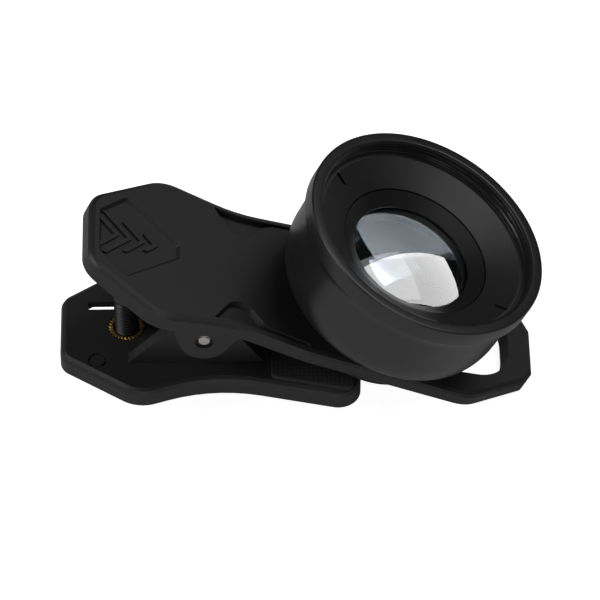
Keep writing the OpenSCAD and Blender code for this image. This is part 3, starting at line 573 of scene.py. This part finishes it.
class PHONELENS_OT_glass(bpy.types.Operator):
    """Grinds the four glass elements, each between two spherical or flat faces"""

    bl_idname = "phonelens.glass"
    bl_label = "Glass"

    def execute(self, context):
        lens = context.scene.phone_lens.lens
        # Painted shade: the front glass is tinted a dark blue-grey so the lens reads dark inside; this is not a tint of
        # the glass itself
        front = clear_glass("front glass", (0.3, 0.33, 0.36))
        coated = clear_glass("coated glass", (0.96, 1.0, 0.985), lens.coating)
        plain = clear_glass("plain glass", (0.97, 0.985, 1.0))
        elements = [
            ("front_glass", "front_element", front, "coated_glass", 10.8, FRONT_TOP, 28.0, FRONT_SEAT, None),
            ("crown_glass", "crown_element", plain, "plain_glass", 9.5, CROWN_TOP, 26.0, FLINT_TOP + 0.01, -22.0),
            ("flint_glass", "flint_element", plain, "plain_glass", 9.5, FLINT_TOP - 0.01, -22.0, STOP_TOP, None),
            ("rear_glass", "rear_element", coated, "coated_glass", 7.3, REAR_TOP, None, REAR_TOP - 1.6, -15.0)]
        for name, cad, material, slot, rim, top, top_r, bottom, bottom_r in elements:
            out = np.sin(np.linspace(0, np.pi / 2, 28)) * rim
            upper = np.stack([out, top + self.rise(out, rim, top_r)], -1)
            lower = np.stack([out[::-1], bottom + self.rise(out[::-1], rim, bottom_r)], -1)
            line = np.concatenate([upper, lower])
            mesh_piece(name, [(spun(line[:, 0], line[:, 1], 160), True, False)], "lens", material, [cad],
                       LENS, LENS_TURN)
        return {"FINISHED"}

    @staticmethod
    def rise(out, rim, radius):
        """Height of a spherical face over its edge: sqrt(R^2 - s^2) - sqrt(R^2 - rim^2), or 0 where it is flat."""
        if radius is None:
            return np.zeros_like(out)
        return np.sign(radius) * (np.sqrt(radius ** 2 - out ** 2) - np.sqrt(radius ** 2 - rim ** 2))


class PHONELENS_OT_mount(bpy.types.Operator):
    """Makes the soft ring and the seal, and finishes the mount ring"""

    bl_idname = "phonelens.mount"
    bl_label = "Lens mount"

    def execute(self, context):
        clip = context.scene.phone_lens
        dress("mount_ring", anodised("mount ring anodising", scaled(clip.lens.barrel, 1.3), 0.35))
        soft = rubber("soft ring rubber", clip.rubber)
        ring = rounded_loop([[9.2, -4.3], [12.57, -4.3], [12.57, -2.2], [9.2, -2.2]], [0.5, 0.5, 0.1, 0.1], 7)
        mesh_piece("soft_ring", [(spun(ring[:, 0], ring[:, 1], 160), True, True)], "upper_arm", soft,
                   ["phone_pad"], LENS, LENS_TURN)
        seal = rounded_loop([[8.6, 0.9], [10.4, 0.9], [10.4, 1.6], [8.6, 1.6]], 0.3, 7)
        mesh_piece("seal", [(spun(seal[:, 0], seal[:, 1], 128), True, True)], "lens_travel", soft,
                   ["thread_seal"], LENS, LENS_TURN)
        return {"FINISHED"}


class PHONELENS_OT_hinge(bpy.types.Operator):
    """Makes the serrated pin and winds the torsion spring round it"""

    bl_idname = "phonelens.hinge"
    bl_label = "Pin and spring"

    def execute(self, context):
        settings = context.scene.phone_lens.metal
        teeth, half = settings.pin_teeth, 11.35
        turns = teeth * 8
        angle = 2 * np.pi * np.arange(turns)[:, None] / turns
        line = np.array([[0, half], [0.78, half], [0.86, half - 0.02], [0.98, half - 0.14], [1.2, half - 0.3],
                         [1.2, 7.9], [1.12, 7.7], [1.12, -7.7], [1.2, -7.9], [1.2, 0.3 - half],
                         [0.98, 0.14 - half], [0.86, 0.02 - half], [0.78, -half], [0, -half]])
        bite = np.clip((np.abs(line[:, 1]) - 7.8) / 0.1, 0, 1) * (line[:, 0] > 1.15)
        radius = line[:, 0] - 0.14 * bite * saw(angle * teeth / (2 * np.pi))
        pin_turn = np.array([[1, 0, 0], [0, 0, 1], [0, -1, 0]])
        steel = metal("pin steel", settings.steel, 0.42)
        mesh_piece("serrated_pin", [(spun(radius, line[:, 1], turns), True, False)], "upper_arm", steel,
                   ["hinge_pin"], PIN, pin_turn, 25)

        wire, coil, leg, out = 0.6, 2.2, 11.0, 7 * 1.3 / 2
        low = math.asin(8.6 / math.hypot(coil, leg)) - math.atan2(coil, leg)
        high = math.asin(3.9 / math.hypot(coil, leg)) - math.atan2(coil, leg)
        start, stop = low - math.pi / 2, math.pi / 2 - high - TILT + 12 * math.pi
        turned = np.linspace(start, stop, 330)
        side = out * (2 * (turned - start) / (stop - start) - 1)
        winding = np.stack([coil * np.cos(turned), side, coil * np.sin(turned)], -1)

        def straight(turn, y, back):
            """A leg of the wire: the coil's point plus back times the coil's tangent, at the side y."""
            return np.stack([coil * math.cos(turn) + back * math.sin(turn), np.full_like(back, y),
                             coil * math.sin(turn) - back * math.cos(turn)], -1)

        path = np.concatenate([straight(start, -out, np.linspace(leg, 0.4, 14)), winding,
                               straight(stop, out, np.linspace(-0.4, -leg, 14))])
        thick = np.full(len(path), wire)
        thick[[0, -1]] = 0.8 * wire
        wire_steel = metal("spring steel", scaled(settings.steel, 0.8), 0.3)
        spring = mesh_piece("spring", [(swept(path, np.array([0.0, 1.0, 0.0]), thick, 12), False, True)], None,
                            wire_steel, ["torsion_spring"], PIN, UPRIGHT, 40)
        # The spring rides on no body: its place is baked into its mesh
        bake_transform(spring)
        return {"FINISHED"}


class PHONELENS_OT_screw(bpy.types.Operator):
    """Makes the tension screw, its brass insert, its tip and its knob"""

    bl_idname = "phonelens.screw"
    bl_label = "Tension screw"

    def execute(self, context):
        clip = context.scene.phone_lens
        settings = clip.metal
        top = LOW_TOP + 8 - 0.8
        turns = 72
        angle = 2 * np.pi * np.arange(turns)[:, None] / turns
        height = np.concatenate([[0.4, 0.4], np.linspace(0.4, top - 0.35, 270), [top, top, top - 1.6, top - 1.6]])
        major = np.concatenate([[0, 1.95], np.full(270, 1.95), [1.6, 1.25, 1.25, 0]])
        cut = thread_groove(angle, height, settings.screw_pitch, 0.42, 2.6, top + 0.3) * (major == 1.95)
        black = metal("black oxide", settings.oxide, 0.36, tarnish=0.7)
        black.node_tree.nodes["Principled BSDF"].inputs["Metallic"].default_value = 0.6
        mesh_piece("threaded_rod", [(spun(major - cut, height, turns), True, False)], "tension_screw",
                   black, ["tension_screw"], SCREW)

        teeth = settings.insert_teeth
        turns = teeth * 6
        angle = 2 * np.pi * np.arange(turns)[:, None] / turns
        low, high = LOW_BOTTOM, LOW_TOP + 0.15
        line = np.array([[2.0, high - 0.25], [2.3, high], [2.62, high], [2.97, high - 0.12], [2.97, low + 0.12],
                         [2.75, low], [2.3, low], [2.0, low + 0.25]])
        knurl = 0.27 * saw(angle * teeth / (2 * np.pi)) * (line[:, 0] > 2.6)
        brass = metal("insert brass", settings.brass, 0.26, tarnish=0.7)
        mesh_piece("brass_insert", [(spun(line[:, 0] - knurl, line[:, 1], turns), True, True)], "lower_arm",
                   brass, ["threaded_insert"], SCREW, UPRIGHT, 25)

        tip = np.array([[0, top + 0.8], [1.0, top + 0.8], [1.3, top + 0.72], [1.7, top + 0.45], [1.85, top + 0.3],
                        [1.85, top], [1.2, top], [1.2, top - 1.5], [0, top - 1.5]])
        nylon = rubber("tip nylon", clip.rubber, by=2.2)
        mesh_piece("nylon_tip", [(spun(tip[:, 0], tip[:, 1], 64), True, False)], "screw_travel", nylon,
                   ["screw_tip_pad"], SCREW)

        turns = 12 * 16
        angle = 2 * np.pi * np.arange(turns)[:, None] / turns
        loop = rounded_loop([[0.001, 0], [5.2, 0], [5.2, 3.0], [3.15, 3.0], [2.95, 3.6], [1.97, 3.6], [1.97, 0.4],
                             [0.001, 0.4]], [0, 0.6, 0.6, 0.15, 0.1, 0.1, 0, 0], 6)
        bay = np.clip(1 - (((angle / (2 * np.pi) * 12) % 1 - 0.5) / 0.34) ** 2, 0, 1)
        share = np.clip((loop[:, 0] - 3.4) / 1.4, 0, 1)
        knob = moulded("knob plastic", clip.plastic, by=0.95)
        mesh_piece("fluted_knob", [(spun(loop[:, 0] - 0.42 * bay * share, loop[:, 1], turns), True, True)],
                   "tension_screw", knob, ["thumb_knob"], SCREW, UPRIGHT, 45)
        return {"FINISHED"}


class PHONELENS_OT_jaw_pad(bpy.types.Operator):
    """Moulds the dotted jaw pad with its rounded edge"""

    bl_idname = "phonelens.jaw_pad"
    bl_label = "Jaw pad"

    def execute(self, context):
        settings = context.scene.phone_lens.rubber
        back, front, rear_w, front_w = 10.5, 23.9, 11.43, 14.45
        outline = rounded_loop([[back, -rear_w], [front, -front_w], [front, front_w], [back, rear_w]],
                               [1.1, 2.4, 2.4, 1.1], 14)
        # Each row follows the outline, inset by 0.03 and then round a quarter circle of radius 0.4 to the top
        arc = np.linspace(0, np.pi / 2, 7)
        insets = np.concatenate([[0.03, 0.03], 0.03 + 0.4 * (1 - np.cos(arc)), [1.2]])
        heights = np.concatenate([[-1.0, 0.0], 0.2 + 0.4 * np.sin(arc), [0.6]])
        rings = np.stack([inset_loop(outline, inset) for inset in insets])
        points = np.concatenate([rings, np.broadcast_to((heights - 9.4)[:, None, None], rings.shape[:2] + (1,))], -1)
        pad = rubber("jaw pad rubber", settings, dots=True)
        mesh_piece("jaw_pad", [(points, False, True)], "lower_arm", pad, ["lower_jaw_pad"], PIN,
                   UPRIGHT, 40)
        return {"FINISHED"}


def softbox(name, centre, aim, width, height, watts, colour=(1, 1, 1)):
    """A rectangular area lamp that faces its aim."""
    lamp = bpy.data.lights.new(name, "AREA")
    lamp.shape, lamp.size, lamp.size_y, lamp.energy, lamp.color = "RECTANGLE", width, height, watts, colour
    made = bpy.data.objects.new(name, lamp)
    bpy.context.scene.collection.objects.link(made)
    made.location = centre
    made.rotation_euler = (Vector(aim) - Vector(centre)).to_track_quat("-Z", "Y").to_euler()
    return made


class PHONELENS_OT_stage(bpy.types.Operator):
    """Sets the camera, the pale floor, the lamps and the world"""

    bl_idname = "phonelens.stage"
    bl_label = "Stage"

    def execute(self, context):
        scene, stage = context.scene, context.scene.phone_lens.stage
        flat = math.cos(stage.elevation)
        away = Vector((-math.sin(stage.azimuth) * flat, -math.cos(stage.azimuth) * flat, math.sin(stage.elevation)))
        data = bpy.data.cameras.new("camera")
        data.lens, data.sensor_width, data.clip_start = stage.focal, 36, 0.01
        camera = bpy.data.objects.new("camera", data)
        scene.collection.objects.link(camera)
        camera.location = Vector(stage.aim) + stage.distance * away
        camera.rotation_euler = (math.pi / 2 - stage.elevation, 0, -stage.azimuth)
        scene.camera = camera

        side = np.array([[-3.0, -3.0, 0], [3.0, -3.0, 0], [3.0, 3.0, 0], [-3.0, 3.0, 0]])
        mesh = bpy.data.meshes.new("floor")
        mesh.from_pydata(side.tolist(), [], [[0, 1, 2, 3]])
        floor = bpy.data.objects.new("floor", mesh)
        scene.collection.objects.link(floor)
        material, tree, shader = new_material("floor paper")
        shader.inputs["Base Color"].default_value = (stage.floor, stage.floor, stage.floor, 1)
        shader.inputs["Roughness"].default_value = 0.9
        shader.inputs["Specular IOR Level"].default_value = 0.1
        path = node(tree, "ShaderNodeLightPath")
        shader.inputs["Emission Color"].default_value = (1, 1, 1, 1)
        tree.links.new(math_node(tree, "MULTIPLY", path.outputs["Is Camera Ray"], stage.glow), shader.inputs["Emission Strength"])
        mesh.materials.append(material)

        world = bpy.data.worlds.new("studio")
        scene.world = world
        world.use_nodes = True
        tree = world.node_tree
        ground = tree.nodes["Background"]
        path = node(tree, "ShaderNodeLightPath")
        tone = node(tree, "ShaderNodeMix", {0: path.outputs["Is Camera Ray"], 2: 0.04, 3: 1.0}).outputs[0]
        tree.links.new(tone, ground.inputs["Strength"])
        ground.inputs["Color"].default_value = (1, 1, 1, 1)
        scene.view_settings.view_transform = "Standard"

        softbox("front softbox", (0, -0.74, 0.3), (0, 0, 0.01), 0.5, 0.45, 0.9)
        softbox("back softbox", (0.37, 0.21, 0.68), (0, 0, 0.01), 0.45, 0.45, 1.6)
        softbox("left softbox", (-0.6, -0.1, 0.5), (0, 0, 0.01), 0.45, 0.45, 2.5)
        window = softbox("glass softbox", (0.543, 0.261, 0.603), (-0.025, -0.097, 0.168), 0.48, 1.0, 17)
        only_glass = bpy.data.collections.new("lit by the glass softbox")
        only_glass.objects.link(bpy.data.objects["front_glass"])
        window.light_linking.receiver_collection = only_glass
        return {"FINISHED"}


class PHONELENS_PT_panel(bpy.types.Panel):
    """Lists the pieces of the clip-on lens"""

    bl_idname = "PHONELENS_PT_panel"
    bl_label = "Clip-on phone lens"
    bl_space_type = "VIEW_3D"
    bl_region_type = "UI"
    bl_category = "Phone lens"

    def draw(self, context):
        for step in STEPS:
            self.layout.operator(step.bl_idname)


STEPS = [PHONELENS_OT_arms, PHONELENS_OT_barrel, PHONELENS_OT_trim, PHONELENS_OT_glass, PHONELENS_OT_mount,
         PHONELENS_OT_hinge, PHONELENS_OT_screw, PHONELENS_OT_jaw_pad, PHONELENS_OT_stage]
SETTINGS = [PlasticSettings, LensSettings, MetalSettings, RubberSettings, StageSettings, ClipSettings]


def register():
    for kind in SETTINGS + STEPS + [PHONELENS_PT_panel]:
        bpy.utils.register_class(kind)
    bpy.types.Scene.phone_lens = PointerProperty(type=ClipSettings)


def unregister():
    del bpy.types.Scene.phone_lens
    for kind in reversed(SETTINGS + STEPS + [PHONELENS_PT_panel]):
        bpy.utils.unregister_class(kind)


def main():
    register()
    grain_group()
    dot_group()
    turned_group()
    for step in STEPS:
        family, name = step.bl_idname.split(".")
        getattr(getattr(bpy.ops, family), name)()


if __name__ == "__main__":
    main()
